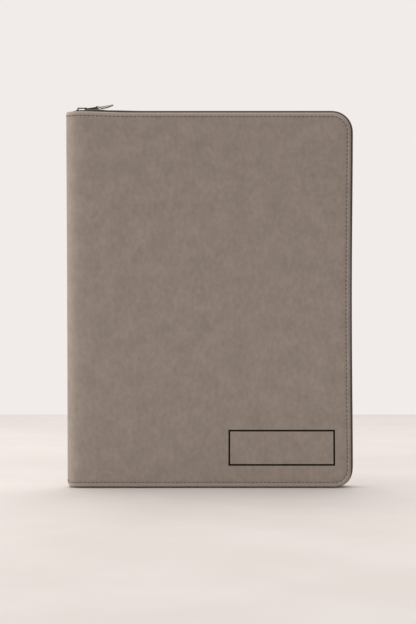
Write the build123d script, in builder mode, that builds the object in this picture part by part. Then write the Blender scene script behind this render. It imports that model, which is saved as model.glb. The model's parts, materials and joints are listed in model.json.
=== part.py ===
from build123d import *
import os

os.makedirs("parts", exist_ok=True)

# Millimetres. The closed case stands on its lower edge: +Z up, the spine at -X, the front cover towards -Y.

# Writing pad and pen, which set the size of the case
PAD_W = 216.0
PAD_H = 298.0
PAPER_T = 3.0
PAD_BACKING_T = 0.7
PEN_R = 5.0
PEN_LOOP_T = 1.0

# Room round them
PAD_FOOT = 12.4  # lower edge of the case to the pad
PAD_HEAD = 20.6  # pad to the upper edge
PAD_MARGIN = 7.0  # pad to the free edge
PEN_LOOP_GAP = 2.0  # pen loop to the pad
PEN_SIDE = 14.0  # outside of the spine to the pen loop
PEN_ROOM = 2.0  # pen loop to the lining that it faces

# Covers
CORNER_R = 17.0  # the two free corners of each cover
FOLD_R = 9.0  # outside radius of the two folds beside the spine
FOLD_SLIT = 2.0  # degrees left open at each fold line
EDGE_R = 2.2  # rolled outer edge of the covers

# Cover layers, from the outside in
SKIN_T = 1.0
FOAM_T = 1.6
HEM_T = 0.8  # the skin turned in behind the foam
TAPE_T = 0.8  # zipper tape, sewn in behind the hem
LINING_T = 0.8
HEM_WIDTH = 7.0  # how far hem and tape reach in from the edge
BOARD_GAP = 0.3  # between the hem and the board
FOLD_MARGIN = 2.0  # foam and board stop short of the fold
LINING_INSET = 2.0
LINING_REACH = 3.5  # lining carried past the start of the fold
SPINE_PAD_T = 1.2
TURN_IN = 2.4  # depth of the turned edge along the folds
SPINE_END_GAP = 0.2

# Zipper
ZIP_PROUD = 1.6  # chain beyond the cover edge at the top and the free side
ZIP_FOOT_CLEAR = 0.4  # chain above the table at the lower edge
ZIP_REACH = 3.5  # ends of the tapes past the start of the fold
CHAIN_T = 1.6
CHAIN_HALF = 2.9  # middle of the zip to the outer side of the bead
ROW_GAP = 0.8  # between the tips of the two rows
TOOTH_H = 1.6
TOOTH_TIP = 1.1
TOOTH_PITCH = 3.6
STOP_LENGTH = 1.8
STOP_BEVEL = 0.4

# Slider and pull
SLIDER_LENGTH = 11.6
SLIDER_NOSE_W = 8.4
SLIDER_TAIL_W = 6.6
SLIDER_PLATE_T = 0.9
SLIDER_CORNER_R = 1.1
SLIDER_BEVEL = 0.3
SLIDER_CLEAR = 0.2
SLIDER_LIP_W = 0.9
POST_T = 0.5
POST_LENGTH = 2.4
CROWN_W = 2.2
CROWN_T = 0.9
CROWN_INSET = 0.7  # crown to the ends of the slider
CROWN_LEAN = 0.9  # how far its feet spread
CROWN_R = 1.0
LINK_T = 0.9  # cast link of the pull
LINK_BAR = 0.9
LINK_LENGTH = 10.5  # from bar to bar
LINK_WIDTH = 7.0  # middle to middle of the side bars
LINK_CORNER_R = 1.6
LINK_CLEAR = 0.12
PULL_RISE = 8.6  # degrees the pull stands up from the zip
TAB_LENGTH = 13.8  # far bar to the tip of the tab
TAB_WIDTH = 8.0
TAB_T = 1.8
TAB_CORNER_R = 1.0
TAB_SHOULDER = 1.6  # far bar to where the tab widens
TAB_NECK_CLEAR = 0.4

# Organiser inside the front cover
PANEL_T = 0.8
POCKET_ROOM = 0.6
POCKET_SEAM = 5.0
POCKET_LEFT = 18.0  # outside of the spine to the pockets
POCKET_MARGIN = 8.0  # pockets to the free and lower edges
DOCUMENT_POCKET_H = 218.0
THUMB_R = 14.0
CARD_W = 100.0
CARD_H = 54.0
CARD_STEP = 20.0
CARD_T = 0.6
CARD_CORNER_R = 3.0
CARD_LEFT = 10.0  # from the side of the document pocket
CARD_FOOT = 14.0  # from the lower side of the document pocket
COLUMN_GAP = 13.0  # card pockets to the phone pocket
PHONE_H = 92.0
PHONE_DEPTH = 1.6
WINDOW_H = 66.0
WINDOW_FRAME = 9.0
WINDOW_RISE = 22.0  # phone pocket to the window
FILM_T = 0.3
FILM_REBATE = 3.0

# Writing side inside the back cover
PAD_CLEAR = 0.2
SLEEVE_H = 168.0
SLEEVE_SIDE = 2.0
SLEEVE_PLAY = 1.0
SLEEVE_FOOT = 4.0
BINDING_T = 0.3
BINDING_H = 24.0
PEN_LOOP_H = 30.0
PEN_LOOP_Z = 192.0  # lower edge of the case to the loop

# Places that follow from the sizes
board_t = HEM_T + TAPE_T
loop_r = PEN_R + PEN_LOOP_T
case_height = PAD_FOOT + PAD_H + PAD_HEAD
cover_reach = PEN_SIDE + 2 * loop_r + PEN_LOOP_GAP + PAD_W + PAD_MARGIN
case_depth = 2 * (SKIN_T + FOAM_T + board_t + LINING_T) + 2 * loop_r + PEN_ROOM
spine_x = -(cover_reach + ZIP_PROUD) / 2
edge_x = spine_x + cover_reach
fold_x = spine_x + FOLD_R
fold_y = case_depth / 2 - FOLD_R

# Distances from the middle plane of the case
face_y = case_depth / 2
foam_y = face_y - SKIN_T
board_y = foam_y - FOAM_T
flange_y = board_y - HEM_T
lining_y = flange_y - TAPE_T
inside_y = lining_y - LINING_T

# The zip line runs along the middle of the tape
zip_left = fold_x - ZIP_REACH
zip_right = edge_x + ZIP_PROUD - CHAIN_T / 2
zip_top = case_height + ZIP_PROUD - CHAIN_T / 2
zip_foot = ZIP_FOOT_CLEAR + CHAIN_T / 2
zip_r = CORNER_R + ZIP_PROUD - CHAIN_T / 2


def save(piece, name):
    """Names a finished piece and writes it."""
    piece.part.label = name
    export_step(piece.part, f"parts/{name}.step")


def cover_outline(left, inset):
    """Outline of a cover, pulled in on its three free sides, straight beside the spine."""
    width = edge_x - inset - left
    with BuildSketch() as outline:
        with Locations((left + width / 2, case_height / 2)):
            Rectangle(width, case_height - 2 * inset)
        fillet(outline.vertices().group_by(Axis.X)[-1], CORNER_R - inset)
    return outline.sketch


def fold_band(outer, inner):
    """Cross-section of one layer of the front fold, between two depths under the skin."""
    with BuildSketch() as band:
        with BuildLine():
            CenterArc((fold_x, -fold_y), FOLD_R - (outer + inner) / 2, 225 + FOLD_SLIT / 2, 45 - FOLD_SLIT / 2)
        trace(line_width=inner - outer)
    return band.sketch


def spine_band(outer, inner):
    """Cross-section of one layer of the spine with its half of both folds."""
    radius = FOLD_R - (outer + inner) / 2
    with BuildSketch() as band:
        with BuildLine():
            CenterArc((fold_x, -fold_y), radius, 180, 45 - FOLD_SLIT / 2)
            Line((fold_x - radius, -fold_y), (fold_x - radius, fold_y))
            CenterArc((fold_x, fold_y), radius, 135 + FOLD_SLIT / 2, 45 - FOLD_SLIT / 2)
        trace(line_width=inner - outer)
    return band.sketch


def zip_line():
    """The zip as one line round three sides, from end to end of the tapes."""
    with BuildLine() as line:
        FilletPolyline(
            (zip_left, zip_top), (zip_right, zip_top), (zip_right, zip_foot), (zip_left, zip_foot), radius=zip_r
        )
    return line.wire()


# Front cover skin: a shallow tray with a rolled edge, half of the front fold and a hem turned in behind
with BuildPart() as front_cover_skin:
    with BuildSketch(Plane.XZ.offset(flange_y)):
        add(cover_outline(fold_x, 0))
    extrude(amount=face_y - flange_y)
    with BuildSketch(Plane.XY):
        add(fold_band(0, TURN_IN))
    extrude(amount=case_height)
    rim = front_cover_skin.edges().filter_by_position(Axis.Y, -face_y - 0.01, -face_y + 0.01)
    rim_ends = rim.group_by(Axis.Z)[0] + rim.group_by(Axis.Z)[-1]
    fillet(rim_ends.sort_by(SortBy.LENGTH)[-1:], EDGE_R)
    with BuildSketch(Plane.XZ.offset(flange_y)):
        add(cover_outline(fold_x, SKIN_T))
    extrude(amount=foam_y - flange_y, mode=Mode.SUBTRACT)
    with BuildSketch(Plane.XY.offset(SKIN_T)):
        add(fold_band(SKIN_T, TURN_IN))
    extrude(amount=case_height - 2 * SKIN_T, mode=Mode.SUBTRACT)
    with BuildSketch(Plane.XZ.offset(flange_y)):
        add(cover_outline(fold_x, SKIN_T / 2))
        add(cover_outline(fold_x - 1, HEM_WIDTH), mode=Mode.SUBTRACT)
    extrude(amount=HEM_T)
save(front_cover_skin, "front_cover_skin")

# Padding and stiff board of the front cover
with BuildPart() as front_cover_foam:
    with BuildSketch(Plane.XZ.offset(board_y)):
        add(cover_outline(fold_x + FOLD_MARGIN, SKIN_T))
    extrude(amount=FOAM_T)
save(front_cover_foam, "front_cover_foam")

with BuildPart() as front_cover_board:
    with BuildSketch(Plane.XZ.offset(lining_y)):
        add(cover_outline(fold_x + FOLD_MARGIN, HEM_WIDTH + BOARD_GAP))
    extrude(amount=board_t)
save(front_cover_board, "front_cover_board")

# Lining of the front cover, carried a little way into the fold
with BuildPart() as front_cover_lining:
    with BuildSketch(Plane.XZ.offset(inside_y)):
        add(cover_outline(fold_x - LINING_REACH, LINING_INSET))
    extrude(amount=LINING_T)
save(front_cover_lining, "front_cover_lining")

# Front zipper tape: a sewn-in flange and the strip that stands across the edge, round three sides
with BuildPart() as zipper_tape_front:
    with BuildSketch(Plane.XZ.offset(CHAIN_HALF)):
        trace(zip_line(), line_width=TAPE_T)
    extrude(amount=flange_y - CHAIN_HALF)
    with BuildSketch(Plane.XZ.offset(lining_y)) as flange:
        with BuildLine():
            FilletPolyline(
                (zip_left, zip_top), (zip_right, zip_top), (zip_right, zip_foot), (zip_left, zip_foot), radius=zip_r
            )
            Line((zip_left, zip_foot), (zip_left, zip_top))
        make_face()
        add(cover_outline(zip_left - 1, HEM_WIDTH), mode=Mode.SUBTRACT)
    extrude(amount=TAPE_T)
save(zipper_tape_front, "zipper_tape_front")


def zipper_row(shift):
    """One row of the chain along the front tape, notched into teeth towards the middle."""
    depth = CHAIN_HALF - ROW_GAP / 2
    mouth = TOOTH_PITCH - TOOTH_TIP
    bend_x = zip_right - zip_r
    run_left = zip_left + STOP_LENGTH
    runs = (
        (Vector(run_left, -ROW_GAP / 2, zip_top), Vector(0, 0, 1), bend_x - run_left),
        (Vector(zip_right, -ROW_GAP / 2, zip_top - zip_r), Vector(1, 0, 0), zip_top - zip_foot - 2 * zip_r),
        (Vector(bend_x, -ROW_GAP / 2, zip_foot), Vector(0, 0, -1), bend_x - run_left),
    )
    bend_count = int(zip_r * 1.57 / TOOTH_PITCH)
    with BuildPart() as row:
        for place, out, length in runs:
            profile = [(0, -depth), (0, 0)]
            for number in range(int(length / TOOTH_PITCH - shift)):
                middle = (number + shift) * TOOTH_PITCH
                profile += [(middle - mouth / 2, 0), (middle, -TOOTH_H), (middle + mouth / 2, 0)]
            profile += [(length, 0), (length, -depth)]
            with BuildSketch(Plane(place, x_dir=out.rotate(Axis.Y, 90), z_dir=out)):
                with BuildLine():
                    Polyline(*profile, close=True)
                make_face()
            extrude(amount=CHAIN_T / 2, both=True)
        for bend_z, turn in ((zip_top - zip_r, 0), (zip_foot + zip_r, -90)):
            with BuildSketch(Plane.XZ.offset(ROW_GAP / 2)):
                with BuildLine():
                    CenterArc((bend_x, bend_z), zip_r, turn, 90)
                trace(line_width=CHAIN_T)
            extrude(amount=depth)
            notches = []
            for number in range(bend_count - 1):
                out = Vector(1, 0, 0).rotate(Axis.Y, -turn - 90 * (number + shift) / bend_count)
                place = Vector(bend_x, -ROW_GAP / 2, bend_z) + out * zip_r
                notches.append(Plane(place, x_dir=out.rotate(Axis.Y, 90), z_dir=out))
            with BuildSketch(*notches):
                with BuildLine():
                    Polyline((-mouth, TOOTH_H), (mouth, TOOTH_H), (0, -TOOTH_H), close=True)
                make_face()
            extrude(amount=CHAIN_T, both=True, mode=Mode.SUBTRACT)
    return row


# The two rows stand half a pitch apart, tooth against gap
zipper_teeth_front = zipper_row(0.5)
save(zipper_teeth_front, "zipper_teeth_front")
back_row = zipper_row(1.0)
with BuildPart() as zipper_teeth_back:
    mirror(back_row.part, about=Plane.XZ)
save(zipper_teeth_back, "zipper_teeth_back")

# Crimped stops at both ends of the front row
with BuildPart() as zipper_stops_front:
    with BuildSketch(Plane.XZ.offset(ROW_GAP / 2)) as stop_ends:
        with Locations((zip_left + STOP_LENGTH / 2, zip_top), (zip_left + STOP_LENGTH / 2, zip_foot)):
            Rectangle(STOP_LENGTH, CHAIN_T)
    extrude(amount=CHAIN_HALF - ROW_GAP / 2)
    chamfer(zipper_stops_front.edges().filter_by(Axis.Y), STOP_BEVEL)
save(zipper_stops_front, "zipper_stops_front")

# The back cover repeats the layers, the tape and the stops of the front cover, mirrored
for front in (
    front_cover_skin,
    front_cover_foam,
    front_cover_board,
    front_cover_lining,
    zipper_tape_front,
    zipper_stops_front,
):
    with BuildPart() as twin:
        mirror(front.part, about=Plane.XZ)
    save(twin, front.part.label.replace("front", "back"))

# Spine skin with turned ends, its padding and its lining
with BuildPart() as spine_skin:
    with BuildSketch(Plane.XY):
        add(spine_band(0, TURN_IN))
    extrude(amount=case_height)
    ends = spine_skin.faces().sort_by(Axis.Z)
    long_edges = ends[0].edges() + ends[-1].edges()
    fillet(long_edges.filter_by(GeomType.LINE).filter_by(Axis.Y).group_by(Axis.X)[0], EDGE_R)
    with BuildSketch(Plane.XY.offset(SKIN_T)):
        add(spine_band(SKIN_T, TURN_IN))
    extrude(amount=case_height - 2 * SKIN_T, mode=Mode.SUBTRACT)
save(spine_skin, "spine_skin")

with BuildPart() as spine_padding:
    with BuildSketch(Plane.XY.offset(SKIN_T + SPINE_END_GAP)):
        add(spine_band(SKIN_T, SKIN_T + SPINE_PAD_T))
    extrude(amount=case_height - 2 * (SKIN_T + SPINE_END_GAP))
save(spine_padding, "spine_padding")

with BuildPart() as spine_lining:
    with BuildSketch(Plane.XY.offset(SKIN_T + SPINE_END_GAP)):
        add(spine_band(SKIN_T + SPINE_PAD_T, SKIN_T + SPINE_PAD_T + LINING_T))
    extrude(amount=case_height - 2 * (SKIN_T + SPINE_END_GAP))
save(spine_lining, "spine_lining")

# Slider: two plates joined by a post between the rows, with lips that hold the back row
slider_nose = zip_left + STOP_LENGTH + SLIDER_CLEAR
slider_tail = slider_nose + SLIDER_LENGTH
plate_low = zip_top - CHAIN_T / 2 - SLIDER_CLEAR - SLIDER_PLATE_T
plate_high = zip_top + CHAIN_T / 2 + SLIDER_CLEAR
slider_top = plate_high + SLIDER_PLATE_T
lip_drop = (CHAIN_T - TAPE_T) / 2
lip_y = CHAIN_HALF + SLIDER_CLEAR
slider_half = max(SLIDER_NOSE_W / 2, lip_y + SLIDER_LIP_W)


def slider_plan():
    """Shield outline of the slider plates, wide at the nose."""
    with BuildSketch() as plan:
        with BuildLine():
            Polyline(
                (slider_nose, -slider_half),
                (slider_nose + SLIDER_LENGTH * 0.55, -slider_half),
                (slider_tail, -SLIDER_TAIL_W / 2),
                (slider_tail, SLIDER_TAIL_W / 2),
                (slider_nose + SLIDER_LENGTH * 0.55, slider_half),
                (slider_nose, slider_half),
                close=True,
            )
        make_face()
        fillet(plan.vertices(), SLIDER_CORNER_R)
    return plan.sketch


with BuildPart() as slider_body:
    for level in (plate_low, plate_high):
        with BuildSketch(Plane.XY.offset(level)):
            add(slider_plan())
        extrude(amount=SLIDER_PLATE_T)
    chamfer(slider_body.faces().sort_by(Axis.Z)[-1].edges(), SLIDER_BEVEL)
    with BuildSketch(Plane.XY.offset(plate_low + SLIDER_PLATE_T)):
        with Locations((slider_nose + POST_LENGTH / 2 + 1.2, 0)):
            Rectangle(POST_LENGTH, POST_T)
    extrude(amount=plate_high - plate_low - SLIDER_PLATE_T)
    with BuildSketch(Plane.XZ.offset(-slider_half)):
        with Locations((slider_nose + SLIDER_LENGTH * 0.31, zip_top)):
            for side in (-1, 1):
                with Locations((0, side * (CHAIN_T / 2 + SLIDER_CLEAR - lip_drop / 2))):
                    Rectangle(SLIDER_LENGTH * 0.4, lip_drop)
    extrude(amount=slider_half - lip_y)
save(slider_body, "slider_body")

# Crown over the slider, the bridge that holds the link of the pull
turning_r = (LINK_T**2 + LINK_BAR**2) ** 0.5 / 2
bar_z = slider_top + LINK_CLEAR + turning_r
crown_inside = bar_z + turning_r + LINK_CLEAR
crown_left = slider_nose + CROWN_INSET
crown_right = slider_tail - CROWN_INSET
bar_x = crown_right - CROWN_T - CROWN_LEAN - turning_r - LINK_CLEAR
with BuildPart() as slider_crown:
    with BuildSketch(Plane.XZ) as crown_side:
        with BuildLine():
            Polyline(
                (crown_left, slider_top),
                (crown_left + CROWN_LEAN, crown_inside + CROWN_T),
                (crown_right - CROWN_LEAN, crown_inside + CROWN_T),
                (crown_right, slider_top),
                close=True,
            )
        make_face()
        fillet(crown_side.vertices().group_by(Axis.Y)[-1], CROWN_R)
        with BuildLine():
            Polyline(
                (crown_left + CROWN_T, slider_top),
                (crown_left + CROWN_T + CROWN_LEAN, crown_inside),
                (crown_right - CROWN_T - CROWN_LEAN, crown_inside),
                (crown_right - CROWN_T, slider_top),
                close=True,
            )
        make_face(mode=Mode.SUBTRACT)
    extrude(amount=CROWN_W / 2, both=True)
save(slider_crown, "slider_crown")

# Pull: a cast link under the crown and a folded tab round its far bar
pull_plane = Plane(origin=(bar_x, 0, bar_z), x_dir=(1, 0, 0), z_dir=(0, 0, 1)).rotated((0, -PULL_RISE, 0))
with BuildPart() as pull_link:
    with BuildSketch(pull_plane):
        with Locations((LINK_LENGTH / 2, 0)):
            RectangleRounded(LINK_LENGTH + LINK_BAR, LINK_WIDTH + LINK_BAR, LINK_CORNER_R)
            Rectangle(LINK_LENGTH - LINK_BAR, LINK_WIDTH - LINK_BAR, mode=Mode.SUBTRACT)
    extrude(amount=LINK_T / 2, both=True)
save(pull_link, "pull_link")

tab_eye = turning_r + LINK_CLEAR
tab_nose = tab_eye + TAB_T / 2
neck_w = LINK_WIDTH - LINK_BAR - 2 * TAB_NECK_CLEAR
side_plane = Plane(origin=pull_plane.origin, x_dir=pull_plane.x_dir, z_dir=(0, -1, 0))
shoulder = LINK_LENGTH + turning_r + TAB_SHOULDER
tab_tip = LINK_LENGTH + TAB_LENGTH
with BuildPart() as pull_tab:
    with BuildSketch(side_plane):
        with Locations((LINK_LENGTH, 0)):
            Circle(tab_nose)
        with BuildLine():
            Polyline(
                (LINK_LENGTH, tab_nose),
                (shoulder, TAB_T / 2),
                (shoulder + 1, TAB_T / 2),
                (shoulder + 1, -TAB_T / 2),
                (shoulder, -TAB_T / 2),
                (LINK_LENGTH, -tab_nose),
                close=True,
            )
        make_face()
        with Locations((LINK_LENGTH, 0)):
            Circle(tab_eye, mode=Mode.SUBTRACT)
    extrude(amount=neck_w / 2, both=True)
    with BuildSketch(pull_plane.offset(-TAB_T / 2)) as tab_plan:
        with BuildLine():
            Polyline(
                (shoulder, -TAB_WIDTH / 2),
                (tab_tip - TAB_WIDTH * 0.3, -TAB_WIDTH / 2),
                (tab_tip, -TAB_WIDTH * 0.2),
                (tab_tip, TAB_WIDTH * 0.2),
                (tab_tip - TAB_WIDTH * 0.3, TAB_WIDTH / 2),
                (shoulder, TAB_WIDTH / 2),
                close=True,
            )
        make_face()
        fillet(tab_plan.vertices(), TAB_CORNER_R)
    extrude(amount=TAB_T)
save(pull_tab, "pull_tab")

# Document pocket inside the front cover, sewn down on three sides and open at the top
pocket_left = spine_x + POCKET_LEFT
pocket_right = edge_x - POCKET_MARGIN
pocket_w = pocket_right - pocket_left
pocket_mid = (pocket_left + pocket_right) / 2
pocket_y = inside_y - POCKET_ROOM - PANEL_T
with BuildPart() as document_pocket:
    with BuildSketch(Plane.XZ.offset(pocket_y)) as pocket_face:
        with Locations((pocket_mid, POCKET_MARGIN + DOCUMENT_POCKET_H / 2)):
            Rectangle(pocket_w, DOCUMENT_POCKET_H)
        foot = pocket_face.vertices().group_by(Axis.Y)[0]
        fillet(foot.sort_by(Axis.X)[-1], CORNER_R - POCKET_MARGIN)
        with Locations((pocket_mid, POCKET_MARGIN + DOCUMENT_POCKET_H)):
            Circle(THUMB_R, mode=Mode.SUBTRACT)
    extrude(amount=PANEL_T + POCKET_ROOM)
    with BuildSketch(Plane.XZ.offset(pocket_y + PANEL_T)):
        with Locations((pocket_mid, POCKET_MARGIN + POCKET_SEAM + DOCUMENT_POCKET_H / 2)):
            Rectangle(pocket_w - 2 * POCKET_SEAM, DOCUMENT_POCKET_H)
    extrude(amount=POCKET_ROOM, mode=Mode.SUBTRACT)
save(document_pocket, "document_pocket")

# Three card pockets stepped one behind the other, the lowest in front
card_x = pocket_left + CARD_LEFT + CARD_W / 2
card_foot = POCKET_MARGIN + CARD_FOOT
for number in range(3):
    card_h = CARD_H + CARD_STEP * (2 - number)
    with BuildPart() as card_pocket:
        with BuildSketch(Plane.XZ.offset(pocket_y - CARD_T * (number + 1))) as card_face:
            with Locations((card_x, card_foot + card_h / 2)):
                Rectangle(CARD_W, card_h)
            fillet(card_face.vertices().group_by(Axis.Y)[-1], CARD_CORNER_R)
        extrude(amount=CARD_T)
    save(card_pocket, f"card_pocket_{number + 1}")

# Phone pocket, boxed out from the document pocket
phone_w = pocket_w - 2 * CARD_LEFT - CARD_W - COLUMN_GAP
phone_x = pocket_right - CARD_LEFT - phone_w / 2
with BuildPart() as phone_pocket:
    with BuildSketch(Plane.XZ.offset(pocket_y - PHONE_DEPTH)):
        with Locations((phone_x, card_foot + PHONE_H / 2)):
            Rectangle(phone_w, PHONE_H)
    extrude(amount=PHONE_DEPTH)
    front_rim = phone_pocket.faces().sort_by(Axis.Y)[-1].edges()
    fillet(front_rim, CARD_T)
    with BuildSketch(Plane.XZ.offset(pocket_y - PHONE_DEPTH + CARD_T)):
        with Locations((phone_x, card_foot + POCKET_SEAM + PHONE_H / 2)):
            Rectangle(phone_w - 2 * POCKET_SEAM, PHONE_H)
    extrude(amount=PHONE_DEPTH - CARD_T, mode=Mode.SUBTRACT)
save(phone_pocket, "phone_pocket")

# Clear window in a frame above the phone pocket
window_z = card_foot + PHONE_H + WINDOW_RISE + WINDOW_H / 2
opening_w = phone_w - 2 * WINDOW_FRAME
opening_h = WINDOW_H - 2 * WINDOW_FRAME
with BuildPart() as window_frame:
    with BuildSketch(Plane.XZ.offset(pocket_y - CARD_T)) as frame_face:
        with Locations((phone_x, window_z)):
            Rectangle(phone_w, WINDOW_H)
        fillet(frame_face.vertices(), CARD_CORNER_R)
        with Locations((phone_x, window_z)):
            RectangleRounded(opening_w, opening_h, CARD_CORNER_R, mode=Mode.SUBTRACT)
    extrude(amount=CARD_T)
    with BuildSketch(Plane.XZ.offset(pocket_y - FILM_T)):
        with Locations((phone_x, window_z)):
            Rectangle(opening_w + 2 * FILM_REBATE, opening_h + 2 * FILM_REBATE)
    extrude(amount=FILM_T, mode=Mode.SUBTRACT)
save(window_frame, "window_frame")

with BuildPart() as window_film:
    with BuildSketch(Plane.XZ.offset(pocket_y - FILM_T)):
        with Locations((phone_x, window_z)):
            Rectangle(opening_w + 2 * FILM_REBATE, opening_h + 2 * FILM_REBATE)
    extrude(amount=FILM_T)
save(window_film, "window_film")

# Sleeve inside the back cover, a low pocket that takes the backing of the pad
pad_right = edge_x - PAD_MARGIN
pad_x = pad_right - PAD_W / 2
sleeve_w = PAD_W + 2 * (SLEEVE_PLAY + SLEEVE_SIDE)
sleeve_foot = PAD_FOOT - SLEEVE_FOOT - PAD_CLEAR * 2
backing_room = PAD_BACKING_T + BINDING_T + 2 * PAD_CLEAR
sleeve_y = inside_y - backing_room - PANEL_T
with BuildPart() as pad_sleeve:
    with BuildSketch(Plane.XZ.offset(-inside_y)):
        with Locations((pad_x, sleeve_foot + SLEEVE_H / 2)):
            Rectangle(sleeve_w, SLEEVE_H)
    extrude(amount=inside_y - sleeve_y)
    with BuildSketch(Plane.XZ.offset(-inside_y)):
        with Locations((pad_x, sleeve_foot + SLEEVE_FOOT + SLEEVE_H / 2)):
            Rectangle(PAD_W + 2 * SLEEVE_PLAY, SLEEVE_H)
    extrude(amount=backing_room, mode=Mode.SUBTRACT)
save(pad_sleeve, "pad_sleeve")

# Writing pad: backing in the sleeve, paper in front of it, a binding strip over the top edge
backing_y = inside_y - PAD_CLEAR - BINDING_T
paper_y = sleeve_y - PAD_CLEAR
pad_top = PAD_FOOT + PAD_H
with BuildPart() as pad_backing:
    with BuildSketch(Plane.XZ.offset(-backing_y)):
        with Locations((pad_x, PAD_FOOT + PAD_H / 2)):
            Rectangle(PAD_W, PAD_H)
    extrude(amount=PAD_BACKING_T)
save(pad_backing, "pad_backing")

with BuildPart() as pad_paper:
    with BuildSketch(Plane.XZ.offset(-paper_y)):
        with Locations((pad_x, PAD_FOOT + PAD_H / 2)):
            Rectangle(PAD_W, PAD_H)
    extrude(amount=PAPER_T)
save(pad_paper, "pad_paper")

with BuildPart() as pad_binding:
    with BuildSketch(Plane.YZ.offset(pad_x)):
        with BuildLine():
            Polyline(
                (paper_y - PAPER_T - BINDING_T / 2, pad_top - BINDING_H),
                (paper_y - PAPER_T - BINDING_T / 2, pad_top + BINDING_T / 2),
                (backing_y + BINDING_T / 2, pad_top + BINDING_T / 2),
                (backing_y + BINDING_T / 2, pad_top - BINDING_H),
            )
        trace(line_width=BINDING_T)
    extrude(amount=PAD_W / 2, both=True)
save(pad_binding, "pad_binding")

# Elastic pen loop on the back lining, beside the pad
loop_x = pad_x - PAD_W / 2 - PEN_LOOP_GAP - loop_r
loop_y = inside_y - loop_r
with BuildPart() as pen_loop:
    with BuildSketch(Plane.XY.offset(PEN_LOOP_Z)):
        with Locations((loop_x, loop_y)):
            Circle(loop_r)
        with Locations((loop_x, inside_y - PEN_LOOP_T / 2)):
            Rectangle(2 * loop_r, PEN_LOOP_T)
        with Locations((loop_x, loop_y)):
            Circle(PEN_R, mode=Mode.SUBTRACT)
    extrude(amount=PEN_LOOP_H)
save(pen_loop, "pen_loop")
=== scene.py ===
"""Zippered padfolio, dressed for the eye: soft covers, zip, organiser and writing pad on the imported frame."""
import json
import math

import bmesh
import bpy
import numpy as np
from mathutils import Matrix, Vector


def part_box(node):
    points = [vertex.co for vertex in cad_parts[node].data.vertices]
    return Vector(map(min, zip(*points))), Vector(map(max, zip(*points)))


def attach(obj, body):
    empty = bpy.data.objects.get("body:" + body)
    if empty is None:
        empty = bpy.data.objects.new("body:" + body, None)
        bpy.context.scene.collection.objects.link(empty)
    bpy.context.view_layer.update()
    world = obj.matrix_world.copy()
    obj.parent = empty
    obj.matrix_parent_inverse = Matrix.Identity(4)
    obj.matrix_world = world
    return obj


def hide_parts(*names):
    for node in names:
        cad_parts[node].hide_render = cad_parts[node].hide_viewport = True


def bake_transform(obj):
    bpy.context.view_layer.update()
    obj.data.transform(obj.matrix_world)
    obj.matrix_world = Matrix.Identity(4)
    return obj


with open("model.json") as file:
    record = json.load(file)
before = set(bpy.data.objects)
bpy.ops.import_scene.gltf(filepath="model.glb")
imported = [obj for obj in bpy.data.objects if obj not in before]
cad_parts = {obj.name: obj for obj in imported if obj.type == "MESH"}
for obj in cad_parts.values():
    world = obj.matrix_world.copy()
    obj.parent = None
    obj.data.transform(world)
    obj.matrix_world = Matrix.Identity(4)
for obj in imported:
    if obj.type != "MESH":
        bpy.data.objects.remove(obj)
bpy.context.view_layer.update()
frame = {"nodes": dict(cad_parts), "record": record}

scene = bpy.context.scene
chance = np.random.default_rng(11)


def corners(node):
    """Lowest and highest corner of a CAD node, in millimetres."""
    low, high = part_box(node)
    return np.array(low) * 1000, np.array(high) * 1000


# Case, in millimetres: +Z up, the spine at -X, the front cover towards -Y
SIDES = ((-1, "front"), (1, "back"))
SKIN_LOW, SKIN_HIGH = corners("front_cover_skin")
FACE = -SKIN_LOW[1]  # middle plane to the outside of a cover
EDGE = SKIN_HIGH[0]  # free edge of the covers
HEIGHT = SKIN_HIGH[2]
SPINE = corners("spine_skin")[0][0]  # outside of the spine
CORNER_R = 17.0
FOLD_R = 9.0
FOLD_X = SPINE + FOLD_R
FOLD_Y = FACE - FOLD_R
FOLD_ARC = FOLD_R * math.pi / 2
MID_SPINE = FOLD_X - FOLD_ARC - FOLD_Y  # where the flat wrap crosses the middle of the spine

# Wrap of a cover and its half of the spine
WRAP_T = 0.8
WRAP_FOOT = 1.0  # the puffy edge is pushed up a little where the case stands on its zip
WRAP_TOP = HEIGHT - 0.4
SEAM_INSET = 3.8
SEAM_DEPTH = 0.5
GROOVE = SEAM_DEPTH - 0.06
# (inset from the edge, depth under the outer face), from the hem round the puffy edge to the field
WRAP_RIM = [
    (7.0, 3.3), (4.0, 3.4), (1.8, 3.4), (0.7, 3.2), (0.12, 2.55), (0.0, 1.75), (0.25, 0.95), (0.85, 0.3),
    (1.7, 0.0), (2.5, 0.02), (3.15, 0.2), (3.6, GROOVE), (SEAM_INSET + 0.2, GROOVE), (4.5, 0.22), (5.3, 0.06),
    (8.0, 0.0),
]
FIELD_STEP = 4.5
FIELD_DEPTH = 0.7  # what lies deeper isn't lifted by the padding
PADDING_RISE = 0.45  # how far the padding may lift the field
PADDING_CELL = 7.0
PADDING_FRAMES = 20
HEM_DEPTH, HEM_FADE = 3.0, 2.4
SPINE_HEM = 0.55  # share of the hem's depth that is left in the spine
PALE_HIGHLIT_EDGE = 2.6, 4.4  # insets between which the pale edge, partly a painted highlight, fades into the field
PALE_HIGHLIT_STOP = EDGE - 9.0, EDGE - 3.0  # where the pale edge and its painted highlight fade out towards the free side, which is left in shade
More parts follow.
